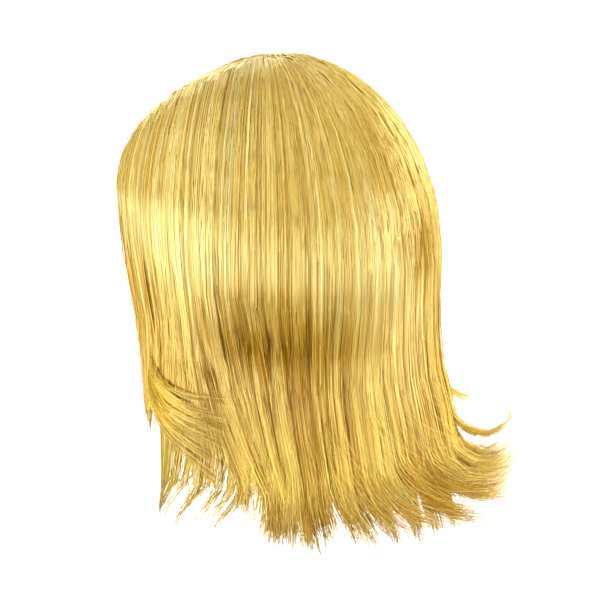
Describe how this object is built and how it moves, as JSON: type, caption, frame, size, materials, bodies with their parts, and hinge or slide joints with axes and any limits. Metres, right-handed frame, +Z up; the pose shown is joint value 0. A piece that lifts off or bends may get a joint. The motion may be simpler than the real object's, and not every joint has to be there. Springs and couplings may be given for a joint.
{
  "type": "wig",
  "caption": "Shoulder-length straight layered wig: hollow cap, side-parted hair sections hanging in locks with outward-flipped ends, under rows and swept-back face-framing locks.",
  "frame": {"origin": "inside top of the cap, where the crown of the head sits", "axes": "+Z up, the face looks along -Y, the wearer's left is +X"},
  "size_m": [0.2215, 0.2678, 0.3012],
  "materials": {
    "cap": "beige net foundation with weft rows",
    "hair": "glossy golden blonde fibre with pale and caramel streaks",
    "under_hair": "darker golden blonde fibre"
  },
  "bodies": {
    "root": {"cap": "cap", "hair_front_left": "hair", "hair_side_left": "hair", "hair_back_left": "hair", "hair_back_centre": "hair", "hair_back_right": "hair", "hair_side_right": "hair", "hair_front_right": "hair", "under_left": "under_hair", "under_back": "under_hair", "under_right": "under_hair", "swept_left": "hair", "swept_right": "hair"}
  },
  "joints": []
}
